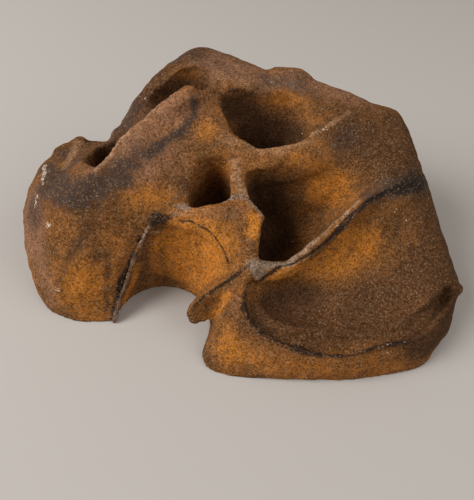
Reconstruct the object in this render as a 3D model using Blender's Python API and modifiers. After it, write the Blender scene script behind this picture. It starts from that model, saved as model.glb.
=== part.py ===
"""Holey stone: one natural piece of weathered sandstone with deep blind hollows.

The stone is shaped the way it could be carved. Five hulls of corner points and one
ellipsoid give the lumps, a remesh and a smooth melt them together, and cutters sink the
hollows. A tube, a fin, a knob and a nub are then added, noise weathers the surface, and a
last cut makes the flat foot it rests on.

Frame: +X along the stone's length, +Y to its back, +Z up. The origin is on the resting
plane, under the middle of the stone's box.
"""

import bmesh
import bpy
from math import radians
from mathutils import Euler, Matrix, Vector

MM = 0.001

# Driving dimensions, in mm: the box around the finished stone.
LENGTH = 278.0
DEPTH = 185.0
HEIGHT = 111.0

# How the surface is worked, in mm where it is a length.
LUMP_VOXEL = 3.0
LUMP_SMOOTHING = 14
HOLLOW_VOXEL = 2.5
HOLLOW_SMOOTHING = 10
SURFACE_VOXEL = 2.0
SURFACE_SMOOTHING = 3
WEATHERING_SIZE = 26.0
WEATHERING_DEPTH = 2.4
TRIANGLES = 9600
TUBE_SIDES = 24
BELOW_FOOT = -8.0
SLAB_THICKNESS = 60.0

# Every hollow opens towards the front and upwards: its mouth is its lip moved this way.
MOUTH_DIRECTION = Vector((0.0, -0.8, 0.6))
MOUTH_LENGTH = 9.0

# The corner points of the lumps, in mm.
LUMPS = {
    "left_lobe": [
        (-126, -68, BELOW_FOOT), (-99, -73, BELOW_FOOT), (-83, -69, BELOW_FOOT),
        (-118, 25, BELOW_FOOT), (-135, -17, BELOW_FOOT), (-78, 13, BELOW_FOOT),
        (-139, -40, 25), (-142, -28, 35), (-143, -17, 45), (-140, -5, 53), (-137, 5, 59),
        (-127, 16, 65), (-115, 22, 68), (-101, 25, 66), (-88, 26, 67),
        (-120, 36, 40), (-112, 35, 55), (-78, 18, 40), (-112, -59, 30), (-98, -59, 35),
        (-122, -27, 67), (-108, -35, 70), (-94, -37, 73),
    ],
    "front_slope": [
        (-86, -72, BELOW_FOOT), (-68, 25, BELOW_FOOT), (-28, 28, BELOW_FOOT), (-103, -7, BELOW_FOOT),
        (-76, -56, 15), (-69, -46, 30), (-62, -39, 47), (-58, -36, 58), (-49, -32, 62),
        (-94, -37, 73), (-118, -29, 68), (-42, -26, 67),
        (-94, -17, 82), (-84, 0, 90), (-72, 18, 96), (-59, 25, 103), (-47, 32, 108), (-32, 35, 106),
    ],
    "middle_wall": [
        (-68, -50, BELOW_FOOT), (-52, -46, BELOW_FOOT), (-30, -47, BELOW_FOOT), (-16, -51, BELOW_FOOT),
        (-58, 43, BELOW_FOOT), (2, 43, BELOW_FOOT),
        (6, -47, 47), (9, -31, 55), (-57, -36, 57), (-42, -27, 68), (-28, -26, 68),
        (-15, -19, 70), (-5, -15, 71), (9, -22, 65), (-58, 25, 96), (-28, 33, 104), (12, 28, 90),
    ],
    "rear_lobe": [
        (-88, 22, BELOW_FOOT), (-66, 60, BELOW_FOOT), (-28, 80, BELOW_FOOT), (12, 85, BELOW_FOOT),
        (-64, 10, BELOW_FOOT), (2, 30, BELOW_FOOT), (-76, 8, 60), (-74, 62, 40), (-48, 83, 45), (10, 93, 45),
        (-96, 21, 78), (-85, 29, 96), (-74, 46, 108), (-65, 61, 110),
        (-46, 76, 113), (-26, 78, 111), (-13, 77, 106), (-2, 75, 102),
        (-44, 39, 110), (-8, 43, 101), (14, 74, 101),
    ],
    "right_flank": [
        (-21, -97, BELOW_FOOT), (-26, -69, BELOW_FOOT), (67, -92, BELOW_FOOT), (22, -96, BELOW_FOOT),
        (114, -80, BELOW_FOOT), (76, 66, BELOW_FOOT), (6, 86, BELOW_FOOT), (112, 18, BELOW_FOOT),
        (131, -34, BELOW_FOOT), (-21, -37, BELOW_FOOT),
        (-3, -60, 33), (-6, -67, 31), (-3, -76, 27), (24, -89, 23), (62, -91, 20), (82, -83, 22),
        (110, -72, 20), (129, -56, 12), (136, -40, 10), (138, -29, 22), (130, -32, 30),
        (4, -46, 47), (26, -43, 50), (46, -27, 61), (65, -8, 72), (88, 10, 78), (1, 6, 85),
        (98, 44, 82), (91, 66, 90), (64, 73, 96), (34, 77, 102), (14, 79, 105), (52, 89, 60),
        (108, 31, 66), (120, -3, 46), (122, 28, 30), (88, 79, 30), (4, 94, 34),
    ],
}

# Lumps that are round all over: centre, radii and turn about X, Y and Z in degrees.
BACK_BULGE = ((-6, 58, 45), (50, 33, 50), (0, 0, 0))
RIM_KNOB = ((-108, 21, 67), (6, 4, 6), (0, 25, 0))
END_NUB = ((133, -30, 21), (5, 4, 4), (0, 0, 0))

# Hollows with a sharp lip: the points of the lip, and the points of the floor.
HOLLOWS = {
    "small_hole": (
        [(-39, -25, 64), (-37, -8, 74), (-30, 3, 80), (-17, 3, 80), (-11, -7, 73),
         (-12, -17, 67), (-25, -23, 66)],
        [(-38, -10, 40), (-12, -8, 40), (-26, 8, 42), (-25, 0, 32)],
    ),
    "great_hole_upper": (
        [(-8, -1, 76), (2, 4, 79), (18, 8, 81), (41, 12, 80), (54, 13, 78), (70, 3, 73),
         (64, -6, 69), (55, -16, 65), (6, -23, 64), (-1, -17, 66), (-7, -13, 68)],
        [(-2, -10, 34), (2, 8, 36), (46, 6, 42), (46, -8, 38), (18, 2, 24), (14, -12, 22)],
    ),
    "great_hole_lower": (
        [(7, -22, 64), (55, -15, 65), (44, -27, 58), (36, -36, 54), (28, -42, 51),
         (23, -43, 50), (7, -44, 49)],
        [(4, -34, 24), (30, -32, 28), (36, -14, 30), (6, -8, 22), (18, -22, 16)],
    ),
    "back_hole": (
        [(-27, 37, 98), (-16, 44, 99), (-1, 52, 96), (15, 54, 94), (25, 49, 92), (31, 39, 89),
         (31, 30, 86), (23, 20, 85), (11, 12, 84), (2, 9, 83), (-4, 13, 85), (-10, 15, 87),
         (-18, 15, 89), (-22, 18, 91), (-26, 26, 96)],
        [(-18, 20, 56), (-12, 38, 58), (16, 42, 58), (22, 26, 58), (0, 30, 46)],
    ),
    "crest_hole": (
        [(-71, 30, 92), (-65, 38, 99), (-58, 44, 104), (-47, 50, 108), (-37, 49, 108),
         (-34, 41, 105), (-38, 34, 103), (-45, 33, 104), (-52, 31, 101), (-57, 30, 98),
         (-62, 28, 95), (-69, 25, 89)],
        [(-62, 32, 76), (-44, 40, 80), (-54, 36, 72)],
    ),
}

# Wide hollows without a sharp lip: centre, radii and turn, as for a round lump.
SCOOPS = {
    "flank_scoop": ((70, -51, 61), (72, 46, 32), (32, 0, 8)),
    "flank_pocket": ((30, -54, 34), (30, 18, 21), (30, 0, 0)),
    "crest_dimple": ((-32, 37, 105), (7, 4, 4), (0, 0, 0)),
    "back_scoop": ((56, 101, 50), (44, 26, 30), (0, 0, -8)),
    "rear_left_scoop": ((-70, 84, 50), (30, 24, 34), (0, 0, 35)),
}

# Long hollows: points of the middle line, each with its radius.
CHANNELS = {
    "front_recess": [(-48, -79, -20, 30), (-48, -71, 0, 33), (-45, -68, 30, 33), (-42, -63, 47, 31),
                     (-40, -60, 62, 27), (-38, -70, 85, 22)],
    "crest_groove": [(-92, 10, 76, 5.5), (-82, 18, 82, 6.5), (-73, 29, 90, 7), (-64, 38, 96, 6)],
    "rim_pit": [(-97, 5, 86, 9), (-95, 8, 56, 8)],
}

# The ridge between the great hole and the flank's scoop, built up as the channels are.
RIDGE = [(4, -45, 44, 5), (23, -42, 47, 4), (30, -39, 49, 4), (41, -31, 54, 3.5), (55, -18, 61, 3.5),
         (69, -4, 68, 3.5), (85, 8, 70, 3), (100, 18, 65, 3)]

# The thin fin that juts to the left from the lower end of the ridge.
FIN = [(5, -47, 48), (5, -49, 33), (-6, -48, 41), (-21, -57, 34), (-33, -66, 26), (-37, -70, 15),
       (-29, -73, 6), (-15, -68, 10), (-5, -59, 18), (-8, -43, 31), (-23, -51, 27), (-32, -61, 17)]


def clear_scene():
    """Remove every object, so that the stone is alone in the file."""
    for thing in list(bpy.data.objects):
        bpy.data.objects.remove(thing, do_unlink=True)


def new_collection(name):
    """Make a collection in the scene."""
    collection = bpy.data.collections.new(name)
    bpy.context.scene.collection.children.link(collection)
    return collection


def finish_mesh(bm, name, collection):
    """Turn a bmesh into a named object whose faces point outwards."""
    bmesh.ops.recalc_face_normals(bm, faces=bm.faces)
    mesh = bpy.data.meshes.new(name)
    bm.to_mesh(mesh)
    bm.free()
    thing = bpy.data.objects.new(name, mesh)
    collection.objects.link(thing)
    return thing


def hull(name, corners, collection):
    """Wrap a convex skin round a list of corner points."""
    bm = bmesh.new()
    for corner in corners:
        bm.verts.new(Vector(corner) * MM)
    wrapped = bmesh.ops.convex_hull(bm, input=bm.verts)
    inner = [part for part in wrapped["geom_interior"] if isinstance(part, bmesh.types.BMVert)]
    bmesh.ops.delete(bm, geom=inner, context="VERTS")
    return finish_mesh(bm, name, collection)


def hollow(name, lip, floor, collection):
    """Make the cutter of a sharp-lipped hollow: its mouth, its lip and its floor in one hull."""
    mouth = [Vector(point) + MOUTH_DIRECTION * MOUTH_LENGTH for point in lip]
    return hull(name, mouth + list(lip) + list(floor), collection)


def ellipsoid(name, centre, radii, turn, collection):
    """Make a sphere with three radii, turned about its centre."""
    bm = bmesh.new()
    bmesh.ops.create_icosphere(bm, subdivisions=4, radius=1.0)
    size = Matrix.Diagonal((*(radius * MM for radius in radii), 1.0))
    spin = Euler([radians(angle) for angle in turn]).to_matrix().to_4x4()
    place = Matrix.Translation(Vector(centre) * MM)
    bmesh.ops.transform(bm, matrix=place @ spin @ size, verts=bm.verts)
    return finish_mesh(bm, name, collection)


def tube(name, route, collection):
    """Make a tube whose radius changes from point to point, with closed ends."""
    curve = bpy.data.curves.new(name, "CURVE")
    curve.dimensions = "3D"
    curve.bevel_depth = MM
    curve.bevel_resolution = (TUBE_SIDES - 4) // 2
    curve.use_fill_caps = True
    spline = curve.splines.new("POLY")
    spline.points.add(len(route) - 1)
    for point, (x, y, z, radius) in zip(spline.points, route):
        point.co = (x * MM, y * MM, z * MM, 1.0)
        point.radius = radius
    guide = bpy.data.objects.new(name + "_guide", curve)
    collection.objects.link(guide)
    graph = bpy.context.evaluated_depsgraph_get()
    bm = bmesh.new()
    bm.from_mesh(bpy.data.meshes.new_from_object(guide.evaluated_get(graph)))
    bmesh.ops.remove_doubles(bm, verts=bm.verts, dist=0.01 * MM)
    bpy.data.objects.remove(guide)
    return finish_mesh(bm, name, collection)


def hide_as_cutter(tool):
    """Show a tool as a wire and keep it out of the finished object."""
    tool.hide_render = True
    tool.display_type = "WIRE"


def cut(target, tool):
    """Cut a tool out of the target."""
    hide_as_cutter(tool)
    step = target.modifiers.new("cut_" + tool.name, "BOOLEAN")
    step.operation = "DIFFERENCE"
    step.object = tool
    step.solver = "EXACT"


def gather(target, lumps):
    """Put lumps that overlap the target into its mesh; the next remesh makes them one body."""
    bm = bmesh.new()
    bm.from_mesh(target.data)
    for lump in lumps:
        bm.from_mesh(lump.data)
        hide_as_cutter(lump)
    bm.to_mesh(target.data)
    bm.free()


def melt(target, voxel, passes):
    """Remesh to an even grid and smooth it, which rounds edges and blends joins."""
    grid = target.modifiers.new("even_grid", "REMESH")
    grid.mode = "VOXEL"
    grid.voxel_size = voxel * MM
    soft = target.modifiers.new("soften", "SMOOTH")
    soft.factor = 0.5
    soft.iterations = passes


def weather(target):
    """Swell and sink the surface a little, as years of water do."""
    clouds = bpy.data.textures.new("weathering", "CLOUDS")
    clouds.noise_scale = WEATHERING_SIZE * MM
    clouds.noise_depth = 2
    wear = target.modifiers.new("weather", "DISPLACE")
    wear.texture = clouds
    wear.texture_coords = "GLOBAL"
    wear.strength = WEATHERING_DEPTH * MM
    wear.mid_level = 0.5


def bake(target):
    """Replace an object's mesh by the result of its modifiers."""
    graph = bpy.context.evaluated_depsgraph_get()
    mesh = bpy.data.meshes.new_from_object(target.evaluated_get(graph))
    target.modifiers.clear()
    target.data = mesh


def thin_out(target, triangles):
    """Lower the number of triangles where the surface is calm."""
    thin = target.modifiers.new("thin_out", "DECIMATE")
    thin.ratio = triangles / sum(len(face.vertices) - 2 for face in target.data.polygons)
    thin.use_collapse_triangulate = True


def fit_to_box(target):
    """Bring the stone to its driving size, with the origin under the middle of its box."""
    points = [vertex.co for vertex in target.data.vertices]
    low = Vector([min(point[axis] for point in points) for axis in range(3)])
    high = Vector([max(point[axis] for point in points) for axis in range(3)])
    wanted = Vector((LENGTH, DEPTH, HEIGHT)) * MM
    scale = Matrix.Diagonal((wanted.x / (high.x - low.x), wanted.y / (high.y - low.y),
                             wanted.z / high.z, 1.0))
    shift = Matrix.Translation((-(low.x + high.x) / 2, -(low.y + high.y) / 2, 0.0))
    target.data.transform(scale @ shift)


def cut_flat_foot(target, collection):
    """Slice off what is below the resting plane."""
    bm = bmesh.new()
    bmesh.ops.create_cube(bm, size=1.0)
    size = Matrix.Diagonal((2 * LENGTH * MM, 2 * DEPTH * MM, SLAB_THICKNESS * MM, 1.0))
    place = Matrix.Translation((0.0, 0.0, -SLAB_THICKNESS * MM / 2))
    bmesh.ops.transform(bm, matrix=place @ size, verts=bm.verts)
    cut(target, finish_mesh(bm, "resting_plane", collection))


def sandstone():
    """Rust-brown, matt sandstone."""
    material = bpy.data.materials.new("rust_sandstone")
    material.use_nodes = True
    shader = material.node_tree.nodes["Principled BSDF"]
    shader.inputs["Base Color"].default_value = (0.19, 0.075, 0.022, 1.0)
    shader.inputs["Roughness"].default_value = 0.85
    shader.inputs["Metallic"].default_value = 0.0
    material.diffuse_color = (0.19, 0.075, 0.022, 1.0)
    return material


def join_lumps(stone, tools):
    """Melt the lumps into one body."""
    lumps = [hull(name, corners, tools) for name, corners in LUMPS.items()]
    lumps.append(ellipsoid("back_bulge", *BACK_BULGE, tools))
    gather(stone, lumps)
    melt(stone, LUMP_VOXEL, LUMP_SMOOTHING)


def sink_hollows(stone, tools):
    """Cut the holes, the scoops and the channels."""
    for name, (lip, floor) in HOLLOWS.items():
        cutter = hollow(name, lip, floor, tools)
        melt(cutter, HOLLOW_VOXEL, HOLLOW_SMOOTHING)
        cut(stone, cutter)
    for name, shape in SCOOPS.items():
        cut(stone, ellipsoid(name, *shape, tools))
    for name, route in CHANNELS.items():
        cut(stone, tube(name, route, tools))


def raise_ridges(stone, tools):
    """Add the ridge, the fin, the knob on the left rim and the nub on the right end."""
    ridges = [tube("ridge", RIDGE, tools), hull("fin", FIN, tools)]
    ridges.append(ellipsoid("rim_knob", *RIM_KNOB, tools))
    ridges.append(ellipsoid("end_nub", *END_NUB, tools))
    gather(stone, ridges)
    melt(stone, SURFACE_VOXEL, SURFACE_SMOOTHING)
    weather(stone)


def build_stone():
    """Build the stone in the order of the work: lumps, hollows, ridges, surface, foot."""
    parts = new_collection("holey_stone")
    tools = new_collection("cutters")
    stone = finish_mesh(bmesh.new(), "stone", parts)
    join_lumps(stone, tools)
    bake(stone)
    sink_hollows(stone, tools)
    bake(stone)
    raise_ridges(stone, tools)
    bake(stone)
    fit_to_box(stone)
    thin_out(stone, TRIANGLES)
    cut_flat_foot(stone, tools)
    bake(stone)
    stone.data.materials.clear()
    stone.data.materials.append(sandstone())
    stone.data.shade_smooth()


clear_scene()
build_stone()
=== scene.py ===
"""A holey stone with its weathered skin, its sandstone finish with painted shade and highlights, a floor,
soft light and a camera.
"""

import bmesh
import bpy
import numpy as np
from math import radians
from mathutils import Euler, Matrix, Vector


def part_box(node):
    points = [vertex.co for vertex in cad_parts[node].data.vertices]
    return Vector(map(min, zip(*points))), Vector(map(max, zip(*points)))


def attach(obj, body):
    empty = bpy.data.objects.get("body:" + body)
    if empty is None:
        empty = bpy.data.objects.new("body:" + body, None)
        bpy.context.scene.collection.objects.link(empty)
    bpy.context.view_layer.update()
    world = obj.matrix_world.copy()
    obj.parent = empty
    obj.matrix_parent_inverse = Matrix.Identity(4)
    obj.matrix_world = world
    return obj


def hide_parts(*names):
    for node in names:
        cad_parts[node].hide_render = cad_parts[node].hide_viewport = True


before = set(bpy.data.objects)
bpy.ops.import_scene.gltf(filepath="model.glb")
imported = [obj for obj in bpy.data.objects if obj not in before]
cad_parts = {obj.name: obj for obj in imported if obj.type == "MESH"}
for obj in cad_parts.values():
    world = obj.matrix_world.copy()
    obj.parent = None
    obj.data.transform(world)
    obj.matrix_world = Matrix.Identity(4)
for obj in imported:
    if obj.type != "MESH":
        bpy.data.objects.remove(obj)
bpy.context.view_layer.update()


# ---- The stone ---------------------------------------------------------------------------
# One natural piece of rust-brown sandstone. Water has rounded its lumps and eaten deep blind
# holes into it. It is worked out as a distance field on an even grid, in mm: lumps melted
# together, hollows carved out, ridges put back, and then the skin where the field is zero.

MM = 0.001
STEP = 1.4
GRID_LOW = (-148.0, -103.0, -6.3)
GRID_HIGH = (148.0, 103.0, 120.0)
BELOW_FOOT = -8

# The grid's three axes, shaped so that sums with them spread over the whole grid.
x, y, z = (np.arange(low, high, STEP, dtype=np.float32) for low, high in zip(GRID_LOW, GRID_HIGH))
grid = x[:, None, None], y[None, :, None], z[None, None, :]

# Corners of the lumps: each lump is the hull of its list.
LEFT_LOBE = [
    (-120, -70, BELOW_FOOT), (-132, -54, BELOW_FOOT), (-99, -76, BELOW_FOOT), (-72, -71, BELOW_FOOT),
    (-118, 25, BELOW_FOOT), (-135, -17, BELOW_FOOT), (-78, 13, BELOW_FOOT),
    (-139, -40, 25), (-142, -28, 35), (-143, -17, 45), (-140, -5, 53), (-137, 5, 59),
    (-127, 16, 65), (-115, 22, 68), (-101, 25, 66), (-88, 26, 67),
    (-120, 36, 40), (-112, 35, 55), (-78, 18, 40), (-112, -59, 30), (-98, -59, 35),
    (-122, -27, 67), (-108, -35, 70), (-94, -37, 73)]
FRONT_SLOPE = [
    (-70, -71, BELOW_FOOT), (-68, 25, BELOW_FOOT), (-28, 28, BELOW_FOOT), (-103, -7, BELOW_FOOT),
    (-74, -56, 15), (-69, -46, 30), (-62, -39, 47), (-58, -36, 58), (-49, -32, 62),
    (-94, -37, 73), (-118, -29, 68), (-42, -26, 67),
    (-94, -17, 82), (-84, 0, 90), (-72, 18, 96), (-59, 25, 103), (-47, 32, 108), (-32, 35, 106)]
MIDDLE_WALL = [
    (-68, -50, BELOW_FOOT), (-52, -46, BELOW_FOOT), (-30, -47, BELOW_FOOT), (-16, -51, BELOW_FOOT),
    (-58, 43, BELOW_FOOT), (2, 43, BELOW_FOOT),
    (6, -47, 47), (9, -31, 55), (-57, -36, 57), (-42, -27, 68), (-28, -26, 68),
    (-15, -19, 70), (-5, -15, 71), (9, -22, 65), (-58, 25, 96), (-28, 33, 104), (12, 28, 90)]
REAR_LOBE = [
    (-88, 22, BELOW_FOOT), (-66, 60, BELOW_FOOT), (-28, 80, BELOW_FOOT), (12, 85, BELOW_FOOT),
    (-64, 10, BELOW_FOOT), (2, 30, BELOW_FOOT), (-76, 8, 60), (-74, 62, 40), (-48, 83, 45),
    (10, 93, 45), (-95, 20, 76), (-79, 30, 94), (-67, 46, 106), (-59, 62, 108),
    (-46, 76, 113), (-28, 76, 110), (-16, 75, 104), (-5, 73, 99),
    (-44, 39, 110), (-8, 43, 101), (12, 73, 99)]
RIGHT_FLANK = [
    (-24, -100, BELOW_FOOT), (-27, -69, BELOW_FOOT), (67, -92, BELOW_FOOT), (22, -96, BELOW_FOOT),
    (114, -80, BELOW_FOOT), (76, 66, BELOW_FOOT), (6, 86, BELOW_FOOT), (112, 18, BELOW_FOOT),
    (131, -34, BELOW_FOOT), (-21, -37, BELOW_FOOT),
    (-3, -60, 33), (-6, -67, 31), (-3, -76, 27), (24, -89, 23), (62, -91, 20), (82, -83, 22),
    (110, -72, 20), (129, -56, 12), (136, -40, 10), (138, -29, 22), (130, -32, 30),
    (4, -46, 47), (26, -43, 50), (46, -27, 61), (65, -8, 72), (88, 10, 78), (1, 6, 85),
    (98, 44, 82), (90, 65, 89), (63, 70, 93), (32, 74, 98), (10, 78, 102), (52, 89, 60),
    (108, 31, 66), (120, -3, 46), (122, 28, 30), (88, 79, 30), (4, 94, 34)]

# Rounded bodies: a centre, three radii and three angles of turn in degrees. The first group is
# melted on and the second is carved out.
BACK_BULGE = ((-6, 58, 45), (50, 33, 50), (0, 0, 0))
RIM_KNOB = ((-114, 20, 67), (6, 2.5, 3.5), (0, -30, 0))
RIM_SHOULDER = ((-120, 13, 65), (7, 5, 3), (0, -10, 0))
CREST_TOE = ((-88.5, 21, 72), (4, 4, 5), (0, 0, 0))
REAR_STEP = ((15, 73, 97.5), (12, 7, 3), (0, 6, 0))
END_NUB = ((134, -30, 21), (5, 3, 3), (0, 0, 0))

FLANK_SCOOP = ((70, -51, 61), (72, 46, 32), (32, 0, 8))
FLANK_POCKET = ((29, -60, 35), (22, 17, 17), (10, 0, 0))
CREST_DIMPLE = ((-28, 38, 105), (4.5, 4, 5), (0, 0, 0))
BACK_SCOOP = ((56, 101, 50), (44, 26, 30), (0, 0, -8))
REAR_LEFT_SCOOP = ((-70, 84, 50), (30, 24, 34), (0, 0, 35))
PORE = ((-15, 1, 84), (1.8, 1.8, 2.5), (0, 0, 0))

# A hole is the hull of its lip, of its floor, and of its lip moved forwards and up.
MOUTH_FORWARDS = 7.2
MOUTH_UP = 5.4
SMALL_HOLE = (
    [(-38, -23, 64), (-37, -8, 73), (-31, 2, 79), (-19, 2, 79), (-15, -6, 75),
     (-14, -15, 70), (-25, -21, 67)],
    [(-38, -10, 40), (-12, -8, 40), (-26, 8, 42), (-25, 0, 32)])
GREAT_HOLE_TOP = (
    [(-7, -3, 75), (2, -2, 77), (18, 1, 79), (41, 7, 79), (54, 11, 78), (70, 3, 73),
     (64, -6, 69), (55, -16, 65), (11, -22, 65), (4, -16, 67), (-3, -12, 69)],
    [(-2, -10, 34), (2, 8, 36), (46, 6, 42), (46, -8, 38), (18, 2, 24), (14, -12, 22)])
GREAT_HOLE_FOOT = (
    [(6, -28, 60), (12, -21, 65), (55, -15, 65), (45, -27, 58), (37, -36, 54), (30, -43, 50),
     (24, -46, 48), (5, -46, 48)],
    [(4, -34, 24), (30, -32, 28), (36, -14, 30), (6, -8, 22), (18, -22, 16)])
BACK_HOLE = (
    [(-27, 37, 98), (-16, 44, 99), (-1, 52, 96), (15, 54, 94), (25, 49, 92), (31, 39, 89),
     (31, 33, 86), (22, 24, 86), (11, 17, 85), (2, 13, 84), (-4, 17, 86), (-10, 20, 88),
     (-17, 20, 90), (-19, 24, 92), (-21, 30, 95)],
    [(-18, 20, 56), (-12, 38, 58), (16, 42, 58), (22, 26, 58), (0, 30, 46)])
CREST_HOLE = (
    [(-65, 32, 94), (-59, 41, 101), (-53, 47, 106), (-45, 51, 108), (-33, 51, 109),
     (-29, 43, 106), (-36, 34, 104), (-43, 33, 104), (-49, 31, 102), (-54, 30, 99),
     (-59, 28, 95), (-64, 26, 91)],
    [(-57, 33, 78), (-42, 42, 82), (-50, 37, 72)])
RIM_PIT = (
    [(-101, 8, 70), (-97, 18, 68), (-86, 20, 70), (-82, 8, 80), (-80, -6, 87), (-87, -17, 82),
     (-98, -9, 76)],
    [(-98, 8, 48), (-88, 12, 50), (-88, -4, 50), (-94, -6, 52)])

# Points of a middle line, each with its radius. The fin and the ridge's wedge are hulls instead.
FRONT_RECESS = [(-48, -74, -20, 28), (-48.5, -67, 0, 29), (-45, -68, 30, 33), (-42, -63, 47, 31),
                (-40, -60, 62, 27), (-38, -70, 85, 22)]
LIP_KNUCKLE = [(-22, 12, 84, 4), (-9, 12, 83, 4)]
CREST_RISE = [(-56, 16, 97, 3), (-50, 21, 101, 5), (-44, 26, 104, 6), (-40, 30, 102, 5.5),
              (-34, 32, 100, 3)]
CREST_GROOVE = [(-97, 3, 74, 8), (-88, -2, 83, 8), (-81, 6, 88, 7.5), (-73, 15, 92, 7), (-65, 24, 96, 7),
                (-60, 32, 96, 6)]
RIDGE = [(4, -48, 43, 4.5), (23, -46, 44, 4), (31, -41, 48, 4), (41, -32, 54, 3.5),
         (55, -18, 61, 3.5), (69, -4, 68, 3.5), (85, 8, 70, 3), (100, 18, 65, 3)]
FIN = [(5, -47, 48), (5, -49, 33), (-6, -48, 41), (-21, -57, 34), (-31, -66, 26), (-34, -70, 16),
       (-28, -72, 8), (-15, -68, 10), (-5, -59, 18), (-8, -43, 31), (-23, -51, 27), (-31, -61, 17)]
RIDGE_WEDGE = [(0, -51, 48), (5, -49, 49), (25, -45, 49), (20, -49, 49), (13, -52, 45), (6, -55, 39),
               (2, -53, 41), (8, -46, 30), (24, -44, 38)]
RIDGE_WALL = [(10, -48, 37, 5), (24, -44, 41, 5), (34, -38, 45, 4.5), (46, -27, 52, 3.5)]

# Lines on the skin: thin raised lips, cracks and the tops of ridges. The list of single spots holds white
# specks, and painted highlights on the left lobe's edge.
RECESS_LIP = [(-50, -32, 64), (-54, -34, 61), (-57, -38, 59), (-61, -41, 50), (-66, -45, 39),
              (-70, -50, 27), (-75, -60, 13), (-78, -69, 1)]
RIDGE_FOOT = [(8, -54, 37), (11, -53, 41), (16, -51, 46), (20, -48, 49), (25, -47, 49), (30, -44, 51),
              (35, -41, 52), (40, -37, 53), (47, -31, 57), (54, -22, 62), (62, -14, 66), (69, -8, 69),
              (77, -3, 71), (87, 2, 71), (98, 10, 70)]
RIDGE_TOP = [(23, -41, 51), (30, -39, 53), (38, -31, 56), (47, -21, 59), (54, -16, 64),
             (60, -9, 68), (66, -5, 73), (75, 1, 76)]
RIDGE_START = [(8, -53, 42), (3, -50, 47), (12, -48, 48), (23, -45, 49)]
FIN_TOP = [(1, -50, 47), (-2, -51, 44), (-6, -53, 41), (-11, -56, 37), (-19, -60, 32), (-23, -62, 29),
           (-29, -66, 23)]
PANEL_ARC = [(-40, -33, 59), (-35, -33, 60), (-30, -34, 59), (-25, -36, 58), (-21, -38, 56), (-18, -40, 53),
             (-15, -43, 50), (-13, -45, 46), (-11, -47, 43)]
LOBE_VEIN = [(-91, -46, 55), (-95, -49, 50), (-99, -52, 44), (-103, -56, 38), (-106, -59, 31),
             (-108, -62, 24)]
SCOOP_CRACK = [(40, -77, 29), (45, -77, 28), (51, -78, 27), (55, -79, 27)]
SMALL_HOLE_LIP = [(-44, -28, 66), (-38, -27, 66), (-30, -24, 67), (-20, -22, 68), (-14, -20, 69),
                  (-9, -18, 70), (-4, -19, 69), (-1, -22, 68), (3, -24, 66), (6, -27, 63)]
SADDLE_LIP = [(-35, -31, 63), (-19, -28, 65), (-9, -27, 65)]
END_HOLLOW = [(108, 4, 58), (118, -12, 45), (126, -27, 34)]
WHITE_SPECKS_AND_GLINTS = [(-115, -41, 53), (-110, -62, 20), (36, 45, 92), (38, 31, 88), (92, 20, 80)]
CREST_EDGE = [(-88, -22, 80), (-84, -17, 83), (-81, -12, 85), (-79, -5, 88), (-75, -1, 90), (-72, 5, 92),
              (-67, 9, 95), (-63, 14, 99), (-58, 20, 103), (-50, 23, 106), (-43, 26, 106), (-36, 32, 105)]
CREST_SHADE = [(-97, 13, 60), (-93, 17, 66), (-88, 17, 73), (-82, 17, 79), (-77, 18, 84), (-71, 22, 87),
               (-67, 29, 89), (-63, 37, 92), (-57, 42, 95), (-50, 44, 95)]
CREST_CREASE = [(-36, 31, 103), (-31, 32, 103), (-26, 36, 102), (-19, 41, 101), (-12, 44, 99)]
SCOOP_RIM = [(2, -52, 41), (-1, -58, 35), (0, -69, 32), (5, -76, 28), (12, -81, 26),
             (21, -85, 24), (33, -87, 23), (45, -88, 22), (59, -87, 22), (69, -84, 24), (80, -80, 25),
             (97, -74, 24), (107, -67, 24), (120, -53, 24), (131, -39, 24)]


def ramp(values, start, end):
    """0 up to the start, 1 from the end on and straight between: (values - start) / (end - start)."""
    return np.clip((values - start) / (end - start), 0, 1)


def melt(a, b, width):
    """Smooth minimum: the lower of two fields, less width / 4 times the square of their nearness,
    which is 1 where they are equal and 0 where they are a width apart."""
    nearness = np.maximum(1 - np.abs(a - b) / width, 0)
    return np.minimum(a, b) - nearness * nearness * (width / 4)


def carve(solid, hollow, width):
    """The solid without the hollow: a smooth maximum of the solid and the hollow turned inside out."""
    return -melt(-solid, hollow, width)


def hull(corners, at=grid):
    """Distance outside a convex skin: the greatest signed distance to the planes of its faces."""
    bm = bmesh.new()
    for corner in corners:
        bm.verts.new(corner)
    bmesh.ops.convex_hull(bm, input=bm.verts)
    middle = sum((Vector(corner) for corner in corners), Vector()) / len(corners)
    field = None
    for face in bm.faces:
        face.normal_update()
        out = face.normal if face.normal.dot(face.verts[0].co - middle) > 0 else -face.normal
        plane = at[0] * out.x + at[1] * out.y + (at[2] * out.z - out.dot(face.verts[0].co))
        field = plane if field is None else np.maximum(field, plane)
    bm.free()
    return field


def turned(at, centre, turn):
    """Coordinates from a centre, along axes that are turned by three angles in degrees."""
    away = [values - middle for values, middle in zip(at, centre)]
    spin = Euler([radians(angle) for angle in turn]).to_matrix().transposed()
    return [sum(spin[row][column] * away[column] for column in range(3)) for row in range(3)]


def ellipsoid(centre, radii, turn, at=grid):
    """Near distance outside an ellipsoid: k (k - 1) / g, where k is how many radii out a point
    is and g is the length of the point divided twice by the radii."""
    local = turned(at, centre, turn)
    out = np.sqrt(sum((values / radius) ** 2 for values, radius in zip(local, radii)))
    slope = np.sqrt(sum((values / radius ** 2) ** 2 for values, radius in zip(local, radii)))
    return out * (out - 1) / (slope + 1e-6)


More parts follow.
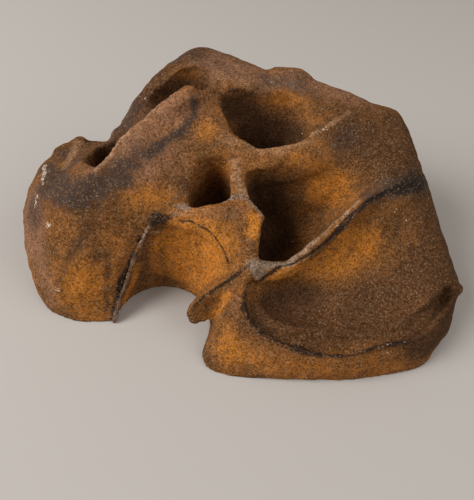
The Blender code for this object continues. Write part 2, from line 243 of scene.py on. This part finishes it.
def tube(route, at=grid):
    """Distance outside a tube: the least, over its pieces, of the distance to the nearest point
    of the middle line less the radius there."""
    field = None
    for start, end in zip(route[:-1], route[1:]):
        along = [b - a for a, b in zip(start[:3], end[:3])]
        away = [values - a for values, a in zip(at, start[:3])]
        share = sum(a * b for a, b in zip(away, along)) / sum(a * a for a in along)
        share = np.clip(share, 0, 1)
        apart = np.sqrt(sum((a - share * b) ** 2 for a, b in zip(away, along)))
        piece = apart - (start[3] + share * (end[3] - start[3])) if len(start) > 3 else apart
        field = piece if field is None else np.minimum(field, piece)
    return field


def soften(field, radius):
    """The field averaged with a bell curve of this radius, along one axis after another."""
    reach = int(2.5 * radius / STEP + 1)
    weights = np.exp(-0.5 * (np.arange(-reach, reach + 1) * STEP / radius) ** 2)
    weights = (weights / weights.sum()).astype(np.float32)
    for axis in range(3):
        count = field.shape[axis]
        padded = np.pad(field, [(reach, reach) if axis == a else (0, 0) for a in range(3)], mode="edge")
        shifted = (np.take(padded, range(start, start + count), axis) for start in range(2 * reach + 1))
        field = sum(weight * part for weight, part in zip(weights, shifted))
    return field


def hole(lip, floor, rounding=1.6):
    """A hole's field: the hull of its mouth, its lip and its floor, softened."""
    mouth = [(a, b - MOUTH_FORWARDS, c + MOUTH_UP) for a, b, c in lip]
    return soften(hull(mouth + lip + floor), rounding)


left = melt(melt(hull(LEFT_LOBE), hull(FRONT_SLOPE), 4), hull(MIDDLE_WALL), 3)
bulge = ellipsoid(*BACK_BULGE)
right = melt(melt(hull(REAR_LOBE), bulge, 6), melt(hull(RIGHT_FLANK), bulge, 6), 6)
lumps = soften(melt(left, right, 6), 4.5)

great_hole = melt(hole(*GREAT_HOLE_TOP), hole(*GREAT_HOLE_FOOT), 3)
small_holes = np.minimum(np.minimum(hole(*SMALL_HOLE), hole(*BACK_HOLE)),
                         np.minimum(hole(*CREST_HOLE), hole(*RIM_PIT)))
holes = np.minimum(great_hole, small_holes)

# A tube that touches the scoop's rim from inside makes a step just within the rim.
TERRACE_RADIUS = 6
SCOOP_MIDDLE = Vector((70, -51, 50))
terrace = []
for point in SCOOP_RIM:
    inwards = (SCOOP_MIDDLE - Vector(point)).normalized()
    terrace.append(tuple(a + TERRACE_RADIUS * b for a, b in zip(point, inwards)) + (TERRACE_RADIUS,))

# Where a hollow fades into the stone its edge is wider: the scoop and the pocket on the right,
# the great hole at the back, and the small hole at its top.
scoop_fade = ramp(grid[0], 60, 90) * ramp(grid[2], 28, 48)
pocket_fade = ramp(grid[0], 28, 44)
small_hole_fade = ramp(grid[1], -12, -4) * ramp(grid[0], -12, -20) * ramp(grid[1], 6, 0)
stone = melt(lumps, tube(CREST_RISE), 6)
stone = carve(stone, tube(FRONT_RECESS), 3)
stone = carve(stone, ellipsoid(*FLANK_SCOOP), 2 + 18 * scoop_fade)
stone = carve(stone, tube(terrace), 2)
stone = carve(stone, ellipsoid(*FLANK_POCKET), 2 + 12 * pocket_fade)
for hollow, width in ((BACK_SCOOP, 6), (REAR_LEFT_SCOOP, 6), (CREST_DIMPLE, 2)):
    stone = carve(stone, ellipsoid(*hollow), width)
stone = carve(stone, tube(CREST_GROOVE), 1)
stone = carve(stone, great_hole, 1.2 + 14 * ramp(grid[1], -8, 4) * ramp(grid[0], 0, 20))
stone = melt(stone, tube(LIP_KNUCKLE), 6)
stone = carve(stone, small_holes, 1.2 + 7 * small_hole_fade)
stone = carve(stone, ellipsoid(*PORE), 0.8)
stone = melt(stone, tube(RIDGE), 3)
stone = melt(stone, tube(RIDGE_WALL), 4)
stone = melt(stone, soften(hull(RIDGE_WEDGE), 0.8), 2)
stone = melt(stone, soften(hull(FIN), 0.8), 2)
for knob, width in ((RIM_KNOB, 3), (RIM_SHOULDER, 5), (CREST_TOE, 4), (REAR_STEP, 5), (END_NUB, 3)):
    stone = melt(stone, ellipsoid(*knob), width)
stone = soften(stone, 0.8)

# Thin beads along three lips, then the flat foot.
for lip, radius, width in ((RECESS_LIP[1:], 1.3, 1.2), (SCOOP_RIM, 1.1, 2), (CREST_EDGE[:8], 0.8, 2)):
    stone = melt(stone, tube(lip) - radius, width)
stone = carve(stone, grid[2] + 0 * stone, 1)


def skin(field):
    """Surface net of a field: one point in each cell that the surface passes through, at the
    mean of its crossings with the cell's edges, and one quad round each crossed grid edge."""
    cells = np.array(field.shape)
    inside = field < 0
    points, homes, quads = [], [], []
    for axis in range(3):
        low = [slice(None)] * 3
        high = [slice(None)] * 3
        low[axis], high[axis] = slice(0, -1), slice(1, None)
        low, high = tuple(low), tuple(high)
        where = np.argwhere(inside[low] != inside[high])
        first = field[low][tuple(where.T)]
        second = field[high][tuple(where.T)]
        crossing = where.astype(float)
        crossing[:, axis] += first / (first - second)
        side, other = np.eye(3, dtype=int)[[(axis + 1) % 3, (axis + 2) % 3]]
        around = np.stack([where, where - side, where - side - other, where - other], 1)
        home = np.ravel_multi_index(tuple(np.moveaxis(around, 2, 0)), cells)
        points.append(np.repeat(crossing, 4, 0))
        homes.append(home.ravel())
        quads.append(np.where((first < 0)[:, None], home, home[:, ::-1]))
    used, number = np.unique(np.concatenate(homes), return_inverse=True)
    number = number.ravel()
    count = np.bincount(number)
    points = np.concatenate(points)
    points = np.stack([np.bincount(number, points[:, axis]) / count for axis in range(3)], 1)
    return points, np.searchsorted(used, np.concatenate(quads))


def between(values, base, share):
    """Mean of the eight lattice values round each place, each weighted by the product over the
    axes of t, or of 1 - t on the lower side, where t is the share of the way to the upper side."""
    total = 0
    for corner in np.ndindex(2, 2, 2):
        weight = np.prod(np.where(corner, share, 1 - share), 1)
        total = total + weight * values[tuple(((base + corner) % values.shape).T)]
    return total


def pick(field, points):
    """The field's values at points given in grid cells."""
    base = np.clip(points.astype(int), 0, np.array(field.shape) - 2)
    return between(field, base, points - base)


# Noise repeats after this many lattice values, and its middle is this many along them.
LATTICE = 61
LATTICE_START = 200


def noise(points, size, seed, squash=(1, 1, 1)):
    """Smooth noise from -1 to 1: random values on a lattice of this size, which repeats, mixed
    between neighbours by 3 t^2 - 2 t^3 of the place between them."""
    values = np.random.default_rng(seed).uniform(-1, 1, (LATTICE, LATTICE, LATTICE))
    place = points / (size * np.array(squash)) + LATTICE_START
    base = np.floor(place).astype(int)
    share = place - base
    return between(values, base, share * share * (3 - 2 * share))


cells, quads = skin(stone)
origin = np.array(GRID_LOW)
spots = cells * STEP + origin
depth = -pick(lumps, cells)
in_hole = np.clip(1 - pick(holes, cells) / 3, 0, 1)
slope = np.stack([pick(part, cells) for part in np.gradient(stone, STEP)], 1)
slope /= np.linalg.norm(slope, axis=1)[:, None] + 1e-6
at = spots[:, 0], spots[:, 1], spots[:, 2]


def near(route, width, ragged=0.0, seed=0):
    """1 on a line and falling off as a bell curve of this width, ragged by noise."""
    apart = tube(route, at) + ragged * noise(spots, 5, seed)
    return np.exp(-(apart / width) ** 2)


def patch(centre, radii, turn=(0, 0, 0)):
    """1 in the middle of a patch and falling off as a bell curve of these radii."""
    local = turned(at, centre, turn)
    return np.exp(-sum((values / radius) ** 2 for values, radius in zip(local, radii)))


# The relief of the skin, in mm outwards: wear, flutes down the walls, pores and cracks. It dies
# out towards the foot.
flutes = noise(spots, 4, 5, (1, 1, 9)) * np.clip(1 - 1.3 * np.abs(slope[:, 2]), 0, 1)
pores = np.clip(noise(spots, 3.4, 7) - 0.45, 0, 1)
relief = 1.1 * noise(spots, 24, 1) + 0.8 * noise(spots, 11, 2) + 0.5 * noise(spots, 5.5, 3)
relief += 0.25 * noise(spots, 2.8, 4) + 0.5 * flutes - 0.9 * pores
relief -= 0.8 * near(PANEL_ARC, 1.3, 0.5, 11) + 0.5 * near(LOBE_VEIN, 2.0, 0.8, 12)
relief -= 1.0 * near(SCOOP_CRACK, 1.2, 0.8, 13) + 1.0 * near(RIDGE_FOOT, 1.6, 0.5, 14)
relief -= 1.2 * near(CREST_CREASE, 1.3, 0.8, 15)
relief *= ramp(spots[:, 2], 0, 4)
moved = spots + slope * relief[:, None]
moved[:, 2] = np.maximum(moved[:, 2], 0)

# The stone's box is its solid's box, and it rests on its flat foot.
box_low, box_high = (np.array(corner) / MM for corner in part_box("stone"))
span = moved.max(0) - moved.min(0)
moved = (moved - moved.min(0)) * ((box_high - box_low) / span) + box_low

mesh = bpy.data.meshes.new("holey_stone")
mesh.from_pydata(moved * MM, [], quads)
mesh.shade_smooth()
holey_stone = bpy.data.objects.new("holey_stone", mesh)
bpy.context.scene.collection.objects.link(holey_stone)
print("holey stone:", 2 * len(quads), "triangles")


def paint(name, amount):
    """Store how much of one layer each point of the skin has; a layer is the stone's own colour, painted
    shade or painted light, or a mix of these.
    """
    layer = mesh.attributes.new(name, "FLOAT", "POINT")
    layer.data.foreach_set("value", np.clip(amount, 0, 1).astype(np.float32))


# Each layer is a sum of marks, lines and patches, each with its strength. Some layers are the stone's own
# colours, some are painted shade or painted light, and some hold both.
# Painted shade: near-black darkness painted deep in the holes, under their lips, behind the crest edge, in
# the scoop's pocket, the dimple, the pore and along the hollow and low rim at the right end, where shade
# falls.
deep = in_hole * ramp(depth, 2, 18)
in_depths = (
    1.5 * patch((2, 0, 50), (17, 26, 26)) + 0.9 * patch((18, -6, 32), (16, 18, 16))
    + 1.2 * patch((2, -18, 36), (20, 26, 34))
    + 1.7 * patch((-8, 40, 72), (26, 20, 21)) + 1.2 * patch((14, 42, 66), (18, 18, 14))
    + 0.1 * patch((-26, -6, 44), (16, 18, 16)) + 0.5 * patch((-34, -14, 54), (8, 10, 12))
    + patch((-62, 28, 86), (14, 14, 18)))
under_lips = (
    1.2 * patch((-95, 10, 58), (14, 15, 15)) + 0.8 * patch((-56, 39, 93), (12, 12, 14))
    + 0.5 * patch((-42, 48, 101), (12, 8, 8)) + 1.1 * patch((-16, 38, 92), (18, 11, 12))
    + 0.5 * patch((26, 40, 78), (9, 12, 9)))
paint("painted_shade",
      deep * in_depths
      + in_hole * under_lips
      + 0.45 * near(CREST_SHADE, 5, 2, 30)
      + 0.9 * patch((24, -53, 24), (19, 13, 9))
      + 0.6 * patch((40, -28, 46), (10, 10, 12)) * in_hole
      + 0.4 * patch((40, -50, 26), (12, 10, 8))
      + 0.7 * patch((-28, 38, 103), (4, 4, 4))
      + 0.8 * patch((-15, 1, 83), (2, 2, 3))
      + 0.9 * near([(102, -73, 20), (111, -71, 17), (119, -62, 18), (125, -50, 21), (128, -42, 24)], 9, 1, 64)
      + 0.3 * near(END_HOLLOW, 10))

# Dark lines: painted shade in the creases under the ridge, along the scoop's rim and the fin, beside the
# recess lip, along the panel's arc and round the small hole's lip; the vein down the left lobe and the cracks
# are the stone's own dark lines.
paint("line",
      1.0 * near(SCOOP_RIM[:12], 1.5, 0.5, 31)
      + 0.85 * near(RIDGE_FOOT, 1.7, 0.4, 32)
      + 0.9 * near(FIN_TOP, 1.3, 0.4, 33)
      + 1.5 * near(RECESS_LIP[1:], 3.0, 1.0, 34) * (1 - near(RECESS_LIP[1:], 2.0, 0.5, 35))
      + 0.9 * near([(-55, -36, 61), (-50, -34, 60), (-45, -31, 62)], 2.8, 2.5, 36)
      + 0.35 * near(RIDGE_FOOT[8:], 6, 2, 41)
      + 0.5 * patch((98, 11, 71), (10, 10, 6))
      + 0.4 * near([(-74, -50, 32), (-75, -53, 25), (-76, -57, 20)], 2, 1.5, 45)
      + 0.8 * near(PANEL_ARC, 1.0, 0.2, 11)
      + 0.35 * near(LOBE_VEIN, 2.2, 0.8, 12)
      + 0.6 * near(SCOOP_CRACK, 1.2, 0.6, 13)
      + 0.5 * near(SMALL_HOLE_LIP, 3.2, 0.5, 37) * (1 - near(SMALL_HOLE_LIP, 1.8, 0.4, 37))
      + 0.6 * near(CREST_CREASE, 1.3, 0.6, 15)
      + 0.5 * near([(-3, -38, 56), (0, -40, 55), (2, -44, 52)], 3.5, 2, 38)
      + 0.4 * near([(-25, 10, 90), (-29, 6, 88), (-33, 2, 85), (-38, -8, 80), (-43, -18, 74)], 2.2, 1.0, 39)
      + 0.5 * near([(88, 3, 73), (97, 9, 71), (106, 16, 66)], 5, 2, 40))

# A grey skin on the ridge's start and top, the recess lip, the small hole's lip and the rear rim: partly the
# stone's own grey, partly painted highlight along the lip edges.
paint("ash_and_highlight",
      1.1 * near(RIDGE_START, 4.2, 0.8, 44)
      + 0.6 * near(RIDGE_TOP[:5], 3, 0.8, 49)
      + 0.9 * near(RECESS_LIP[2:], 1.9, 1.0, 42)
      + 0.75 * near(SMALL_HOLE_LIP, 1.7, 0.4, 37)
      + 0.5 * near([(-45, -32, 63), (-42, -31, 64), (-39, -29, 65)], 3, 1.5, 77)
      + 0.2 * near([(0, -36, 57), (1, -42, 53)], 3.5, 2, 38)
      + 0.3 * near([(4, 58, 99), (16, 62, 98)], 6, 3, 50))

# Pale tan on ridge tops, lips and necks, which is the stone's own; along the crest edge it is a painted
# highlight where the edge catches the light.
paint("pale",
      0.6 * near(RIDGE_TOP[:6], 3.2, 0.8, 41)
      + 0.3 * near(RIDGE_START, 4, 0.8, 44)
      + 0.95 * near(CREST_EDGE, 1.5, 0.5, 43)
      + 0.8 * near([(-13, 0, 78), (-12, -8, 75), (-8, -14, 71), (-1, -16, 68)], 4, 0.8, 45)
      + 0.5 * near([(-2, 8, 83), (14, 10, 83), (26, 20, 86)], 7, 2, 46)
      + 0.5 * near([(-28, 46, 106), (-13, 48, 102), (0, 52, 97)], 6, 2, 47)
      + 0.6 * patch((-18, 8, 86), (9, 7, 7))
      + 0.6 * near([(31, 26, 87), (36, 29, 88), (42, 35, 88), (47, 41, 89), (54, 49, 90)], 2.5, 0.8, 66)
      + 0.8 * patch((-55, -35, 50), (3.5, 3.5, 2.5))
      + 0.6 * patch((-57, -36, 41), (3, 3, 2.5))
      + 0.6 * near([(-113, 16, 68), (-113, 6, 68), (-114, 0, 68), (-114, -8, 69)], 3.5, 1.5, 67))

paint("patina",
      1.2 * near([(-124, -6, 67), (-117, -17, 69), (-110, -28, 70), (-98, -34, 72), (-88, -32, 74),
                  (-81, -26, 76), (-75, -20, 78)], 8, 4, 51)
      + 0.7 * patch((-115, -27, 69), (12, 12, 10))
      + 0.7 * patch((-119, 8, 67), (4, 6, 5))
      + 0.5 * patch((-108, -4, 70), (5, 8, 6))
      + 0.5 * near([(-77, -23, 78), (-70, -12, 84), (-66, -5, 87)], 6, 4, 55)
      + 0.7 * patch((-128, -30, 52), (9, 14, 16))
      + 0.5 * near(LOBE_VEIN, 3.5, 1, 12)
      + 0.5 * patch((-54, 60, 108), (22, 12, 10))
      + 1.1 * near([(-40, 21, 102), (-40, 16, 95), (-46, 8, 91), (-54, 1, 88), (-62, -9, 84)], 2.5, 1.5, 52)
      + 0.6 * near([(-44, -26, 68), (-50, -29, 66), (-55, -33, 61)], 4, 2.5, 53)
      + 0.9 * near([(66, -8, 70), (80, 0, 72), (94, 8, 71), (106, 18, 66)], 7, 2.5, 56)
      + 0.4 * patch((53, 27, 86), (12, 14, 10))
      + 0.6 * near([(0, 56, 100), (12, 61, 98), (24, 62, 98)], 8, 3, 54)
      + 0.8 * near([(-93, 20, 66), (-88, 24, 80), (-78, 28, 91)], 8, 2, 57))

# Orange: the stone's own on the lobes and slopes, and painted light on faces turned to the lamp: the recess
# panel, the wall under the ridge, and the lit inner walls of the great hole and the back hole.
paint("ochre_and_lit_walls",
      1.2 * patch((-30, -38, 34), (26, 14, 30))
      + 0.7 * patch((-96, -60, 24), (20, 18, 26))
      + 0.5 * patch((-60, -27, 70), (22, 9, 8))
      + 0.9 * near([(0, -28, 63), (2, -32, 61), (1, -36, 58)], 3.5, 1, 75)
      + 0.5 * patch((-34, 10, 92), (12, 14, 10))
      + 0.65 * patch((10, 52, 93), (18, 8, 7))
      + 0.75 * patch((46, 8, 60), (20, 14, 18))
      + 1.1 * patch((56, -28, 42), (28, 14, 12), (0, -15, 25))
      + 0.4 * patch((-6, -78, 16), (10, 16, 18))
      + 0.35 * near([(-5, -88, 12), (30, -92, 12), (60, -90, 10), (95, -82, 12)], 12)
      + 0.6 * near([(-8, -61, 31), (-14, -66, 22), (-20, -69, 14)], 3)
      + 0.45 * patch((16, 8, 80), (22, 8, 8))
      + 0.25 * near([(28, 34, 88), (40, 40, 91), (52, 44, 91)], 7, 2, 48)
      + 0.7 * near([(-65, -43, 26), (-67, -44, 21), (-70, -47, 15), (-72, -51, 7), (-75, -55, 2)], 2.6,
                    0.5, 68)
      + 0.5 * patch((-118, -4, 67), (5, 10, 6))
      + 1.1 * near([(14, -52, 41), (19, -50, 44), (25, -49, 45), (32, -46, 43)], 4.5)
      + 0.3 * near([(-14, -60, 28), (-26, -66, 19)], 7)
      + 1.0 * patch((-55, -35, 48), (5, 5, 4))
      + 0.8 * patch((-56, -36, 41), (4, 4, 4))
      + 0.6 * patch((-20, 2, 68), (6, 8, 10))
      + 0.6 * patch((-48, 48, 104), (14, 8, 6)))

paint("rose",
      0.8 * patch((-72, -8, 84), (34, 34, 18))
      + 0.6 * patch((-50, 22, 102), (26, 22, 12))
      + 0.6 * patch((-84, 34, 70), (16, 26, 36))
      + 0.4 * patch((10, 12, 84), (40, 12, 10))
      + 1.2 * patch((-129, -36, 44), (12, 26, 24))
      + 0.7 * patch((-116, -60, 17), (10, 12, 16))
      + 0.5 * near(SADDLE_LIP, 6, 2, 69)
      + 0.6 * patch((-39, 62, 110), (40, 18, 12))
      + 0.5 * patch((-4, -66, 28), (6, 10, 9))
      + 0.5 * patch((-108, 0, 74), (16, 14, 8))
      + 0.7 * near([(-30, 58, 107), (0, 60, 98), (30, 66, 96), (60, 64, 92)], 14))

# Dark brown: partly the stone's own, on the scoop and the rear, and partly painted shade along the recess's
# left wall, behind the crest edge, in the pocket and in the hollow and low rim at the right end.
paint("umber_and_shade",
      0.5 * patch((-126, -34, 50), (10, 16, 18))
      + 0.6 * near([(-6, -34, 59), (-5, -39, 55), (-3, -43, 52)], 3, 1.5, 76)
      + 0.8 * near([(107, -71, 20), (116, -66, 17), (122, -54, 21), (125, -47, 25)], 11)
      + 0.3 * patch((100, -80, 10), (20, 10, 12))
      + 0.6 * near([(-69, 37, 100), (-73, 31, 94), (-76, 24, 87), (-83, 20, 79)], 10, 3, 70)
      + 0.35 * near(SADDLE_LIP, 5, 2, 69)
      + 0.5 * patch((53, 27, 86), (14, 14, 12))
      + 0.6 * near([(-81, -48, 44), (-81, -54, 33), (-82, -60, 21), (-82, -66, 9)], 2.5, 1.5, 74)
      + 1.05 * patch((86, 26, 84), (34, 40, 26))
      + 1.1 * patch((110, -44, 32), (28, 30, 22))
      + 0.4 * patch((-30, 76, 106), (50, 22, 26))
      + 1.2 * patch((30, -68, 23), (36, 20, 12))
      + 0.7 * patch((-41, -18, 73), (5, 9, 7))
      + 0.8 * near(END_HOLLOW, 13)
      + 0.7 * patch((68, -58, 27), (30, 24, 12))
      + 0.5 * near([(-69, 37, 100), (-59, 52, 107), (-46, 63, 111)], 11, 3, 65)
      + 0.7 * near([(-52, -34, 56), (-60, -39, 44), (-62, -41, 30), (-64, -43, 14), (-66, -46, 4)], 6)
      + 0.6 * patch((-116, 8, 68), (18, 14, 12))
      + 0.2 * near([(-8, -55, 40), (-20, -62, 28), (-30, -67, 20)], 5))

# Painted light: the recess panel down to its foot, the ridge top, the lit wall of the great hole and other
# faces, made lighter as though the lamp lit them more.
paint("painted_light",
      0.7 * near([(-26, 20, 92), (-20, 14, 88), (-8, 12, 85)], 8)
      + 0.6 * near([(-44, -33, 61), (-30, -28, 66)], 7)
      + 0.8 * patch((-55, -35, 50), (4, 4, 3))
      + 0.8 * near([(-59, -38, 32), (-57, -38, 18), (-61, -41, 3)], 8)
      + 0.9 * near(RIDGE_TOP, 5)
      + 0.4 * patch((84, -50, 30), (30, 24, 14))
      + 1.0 * near([(-60, -41, 5), (-50, -38, 6), (-42, -38, 8), (-30, -42, 12)], 9)
      + 0.5 * patch((-30, -37, 46), (22, 10, 16))
      + 0.35 * near([(-62, 6, 95), (-52, 17, 101), (-40, 18, 99)], 12)
      + 0.4 * patch((4, 20, 84), (40, 14, 12))
      + 0.4 * patch((-2, -30, 58), (12, 14, 12))
      + 0.3 * patch((46, 8, 60), (22, 16, 22)))

# White spots: painted highlights glinting along the left lobe's edge, and white specks and a smear that the
# stone has.
paint("glints_and_white_specks",
      0.9 * near([(-128, -3, 64), (-125, -13, 65), (-123, -20, 66)], 2, 1.5, 71)
      + 1.0 * near([(-125, -26, 61), (-126, -31, 55)], 2, 1.2, 72)
      + 0.9 * sum(patch(spot, (2.4, 2.4, 2.4)) for spot in WHITE_SPECKS_AND_GLINTS)
      + 0.55 * near([(-8, -61, 31), (-12, -65, 24)], 1.6, 1, 73))


class Value:
    """One output of a material's nodes. Every node of the finish is made through it, and sums
    with it add Math nodes."""

    def __init__(self, tree, socket=None):
        self.tree = tree
        self.socket = socket

    def node(self, kind, settings, sockets, output=0):
        """Add a node: its settings first, then the values or links of its sockets."""
        made = self.tree.nodes.new(kind)
        for name, setting in settings.items():
            setattr(made, name, setting)
        for name, value in sockets.items():
            if isinstance(value, Value):
                self.tree.links.new(value.socket, made.inputs[name])
            else:
                made.inputs[name].default_value = value
        return Value(self.tree, made.outputs[output])

    def sum(self, operation, *terms):
        """A Math node of this operation."""
        return self.node("ShaderNodeMath", {"operation": operation}, dict(enumerate(terms)))

    def __add__(self, other):
        return self.sum("ADD", self, other)

    def __radd__(self, other):
        return self.sum("ADD", other, self)

    def __sub__(self, other):
        return self.sum("SUBTRACT", self, other)

    def __rsub__(self, other):
        return self.sum("SUBTRACT", other, self)

    def __mul__(self, other):
        return self.sum("MULTIPLY", self, other)

    def within(self, low, high):
        """0 below low, 1 above high and smooth between."""
        return self.node("ShaderNodeMapRange", {"interpolation_type": "SMOOTHSTEP"},
                         {"Value": self, "From Min": low, "From Max": high})


# The stone's material: its own colours, with painted shade and painted light laid into the colour.
sandstone = bpy.data.materials.new("sandstone_and_painted_shading")
sandstone.use_nodes = True
sand = Value(sandstone.node_tree)
shader = sandstone.node_tree.nodes["Principled BSDF"]
place = sand.node("ShaderNodeTexCoord", {}, {}, "Object")


def grain(scale, detail=2.0, rough=0.5, squash=(1, 1, 1)):
    """Noise of this many grains per metre."""
    spread = sand.node("ShaderNodeMapping", {}, {"Vector": place, "Scale": squash})
    return sand.node("ShaderNodeTexNoise", {}, {"Vector": spread, "Scale": scale,
                                                "Detail": detail, "Roughness": rough})


def painted_layer(name):
    """How much of one layer a point of the skin has: the stone's own colour, painted shade or painted light,
    or a mix of these.
    """
    return sand.node("ShaderNodeAttribute", {"attribute_name": name}, {}, "Fac")


def scale(colour, amount):
    """A colour made brighter or darker."""
    return sand.node("ShaderNodeVectorMath", {"operation": "SCALE"}, {"Vector": colour, "Scale": amount})


def mix(amount, low, high):
    """From one colour to another."""
    return sand.node("ShaderNodeMix", {"data_type": "RGBA"}, {0: amount, 6: low, 7: high}, 2)


UMBER = (0.105, 0.046, 0.016, 1)
RUST = (0.235, 0.088, 0.020, 1)
OCHRE_AND_LIT_WALLS = (0.370, 0.130, 0.018, 1)
ROSE = (0.215, 0.102, 0.054, 1)
DARK_UMBER_AND_SHADE = (0.066, 0.030, 0.013, 1)
PATINA = (0.038, 0.027, 0.023, 1)
PALE = (0.290, 0.155, 0.080, 1)
BLACK = (0.020, 0.013, 0.010, 1)
SHADE_BLACK = (0.056, 0.026, 0.012, 1)
DUST_AND_GLINT_WHITE = (0.550, 0.450, 0.350, 1)
LIGHT_GRAIN = (0.420, 0.280, 0.160, 1)
ASH_AND_HIGHLIGHT = (0.190, 0.136, 0.098, 1)

cells_of_sand = sand.node("ShaderNodeTexVoronoi", {}, {"Vector": place, "Scale": 1300.0}, "Color")
speckle = sand.node("ShaderNodeSeparateColor", {}, {"Color": cells_of_sand}, "Red")
glitter = sand.node("ShaderNodeSeparateColor", {}, {"Color": cells_of_sand}, "Green")
coarse = grain(330, 3, 0.6)
mottle = grain(90, 4, 0.6)
cloud = grain(28, 3, 0.55)
streaks = grain(170, 3, 0.55, (1, 1, 0.12))
break_up = (mottle - 0.5) * 0.7 + (coarse - 0.5) * 0.5

colour = mix((cloud * 0.6 + mottle * 0.4).within(0.36, 0.62), UMBER, RUST)
colour = mix((painted_layer("rose") + break_up * 0.8).within(0.15, 0.9), colour, ROSE)
# Orange, partly the stone's own and partly painted light on lit walls.
colour = mix((painted_layer("ochre_and_lit_walls") + break_up * 0.8).within(0.15, 0.75), colour, OCHRE_AND_LIT_WALLS)
# Dark brown, partly the stone's own and partly painted shade.
colour = mix((painted_layer("umber_and_shade") + break_up * 0.6).within(0.15, 0.8) * 0.85, colour, DARK_UMBER_AND_SHADE)
colour = mix(streaks.within(0.5, 0.72) * (0.3 + painted_layer("ochre_and_lit_walls") * 0.3), colour, UMBER)
dark_skin = (painted_layer("patina") + break_up * 1.2 + (speckle - 0.5) * 1.0).within(0.3, 0.9)
colour = mix(dark_skin * 0.9, colour, PATINA)
# Pale tan, with a painted highlight along the crest edge.
colour = mix((painted_layer("pale") + break_up * 0.8).within(0.2, 0.8) * 0.85, colour, PALE)
# Grey, partly the stone's own and partly painted highlight on the lip edges.
ashen_and_highlight = (painted_layer("ash_and_highlight") + break_up * 0.7 + (speckle - 0.5) * 0.4).within(0.2, 0.8)
colour = mix(ashen_and_highlight * 0.85, colour, ASH_AND_HIGHLIGHT)
# Dark lines: painted shade in creases, and the stone's own dark vein and cracks.
colour = mix((painted_layer("line") + break_up * 0.7).within(0.25, 0.75) * 0.9, colour, BLACK)
# Painted shade: near black where shade falls in the holes and hollows.
colour = mix(painted_layer("painted_shade").within(0.0, 1.0) * 0.95, colour, SHADE_BLACK)
grains_light = 0.45 + speckle * 1.05 + (coarse - 0.5) * 0.35
# The colour is lightened by the grains and by painted light.
colour = scale(colour, grains_light * (1 + painted_layer("painted_light") * 0.4))
colour = mix(glitter.within(0.8, 0.95) * (1 - painted_layer("painted_shade")) * 0.24, colour, LIGHT_GRAIN)
fleck = sand.node("ShaderNodeTexVoronoi", {}, {"Vector": place, "Scale": 260.0}, "Distance")
flecks = (1 - fleck.within(0.08, 0.16)) * grain(60, 1).within(0.62, 0.66)
colour = mix(flecks * 0.7, colour, DUST_AND_GLINT_WHITE)
# Painted highlights and white specks, in dusty white.
glints_and_specks = (painted_layer("glints_and_white_specks") + (speckle - 0.5) * 0.9 + (coarse - 0.5)).within(0.75, 0.95)
colour = mix(glints_and_specks * 0.8, colour, DUST_AND_GLINT_WHITE)
sandstone.node_tree.links.new(colour.socket, shader.inputs["Base Color"])

dull = 0.82 - painted_layer("patina").within(0.2, 0.9) * 0.22 + (coarse - 0.5) * 0.25
sandstone.node_tree.links.new(dull.socket, shader.inputs["Roughness"])
height = speckle * 0.2 + coarse * 0.35 + mottle * 0.5
bump = sand.node("ShaderNodeBump", {}, {"Strength": 0.9, "Distance": 0.0009, "Height": height}, "Normal")
sandstone.node_tree.links.new(bump.socket, shader.inputs["Normal"])
shader.inputs["Specular IOR Level"].default_value = 0.05
mesh.materials.append(sandstone)

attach(holey_stone, "root")
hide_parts("stone")


# ---- Floor, light and camera -------------------------------------------------------------
# A plain pale floor that the stone lies on, a broad soft lamp from the upper left, a weaker
# one from the right, and a camera that looks steeply down from the front.

bpy.ops.mesh.primitive_plane_add(size=6)
floor = bpy.context.object
floor.name = "floor"
pale = bpy.data.materials.new("pale_floor")
pale.use_nodes = True
finish = pale.node_tree.nodes["Principled BSDF"]
finish.inputs["Base Color"].default_value = (0.44, 0.405, 0.37, 1)
finish.inputs["Roughness"].default_value = 0.8
floor.data.materials.append(pale)


def lamp(name, position, size, power):
    """A square soft lamp aimed at the stone."""
    light = bpy.data.lights.new(name, "AREA")
    light.size = size
    light.energy = power
    thing = bpy.data.objects.new(name, light)
    thing.location = position
    thing.rotation_euler = (Vector((0, 0, 0.04)) - Vector(position)).to_track_quat("-Z", "Y").to_euler()
    bpy.context.scene.collection.objects.link(thing)


lamp("window", (-1.7, -0.6, 1.3), 1.2, 56)
lamp("fill", (1.6, -0.4, 1.3), 1.6, 16)
world = bpy.data.worlds.new("soft_room")
world.use_nodes = True
world.node_tree.nodes["Background"].inputs["Color"].default_value = (1.0, 0.97, 0.93, 1)
world.node_tree.nodes["Background"].inputs["Strength"].default_value = 0.34
bpy.context.scene.world = world

# The focal length is in the units in which the view is VIEW_HEIGHT high, the sensor in mm.
FOCAL, VIEW_HEIGHT, SENSOR = 430, 500, 36
CAMERA_PLACE = (-0.006, -0.197, 0.235)
pitch, roll = radians(49.6), radians(-6.1)
ahead = Vector((0, np.cos(pitch), -np.sin(pitch)))
level = Vector((1, 0, 0))
plumb = ahead.cross(level)
rightwards = level * np.cos(roll) + plumb * np.sin(roll)
downwards = plumb * np.cos(roll) - level * np.sin(roll)
lens = bpy.data.cameras.new("camera")
lens.sensor_width = SENSOR
lens.lens = FOCAL / VIEW_HEIGHT * SENSOR
lens.clip_start = 0.01
camera = bpy.data.objects.new("camera", lens)
camera.matrix_world = Matrix.Translation(CAMERA_PLACE) @ Matrix(
    (rightwards, -downwards, -ahead)).transposed().to_4x4()
bpy.context.scene.collection.objects.link(camera)
bpy.context.scene.camera = camera
bpy.context.scene.view_settings.view_transform = "Standard"

bpy.context.view_layer.update()
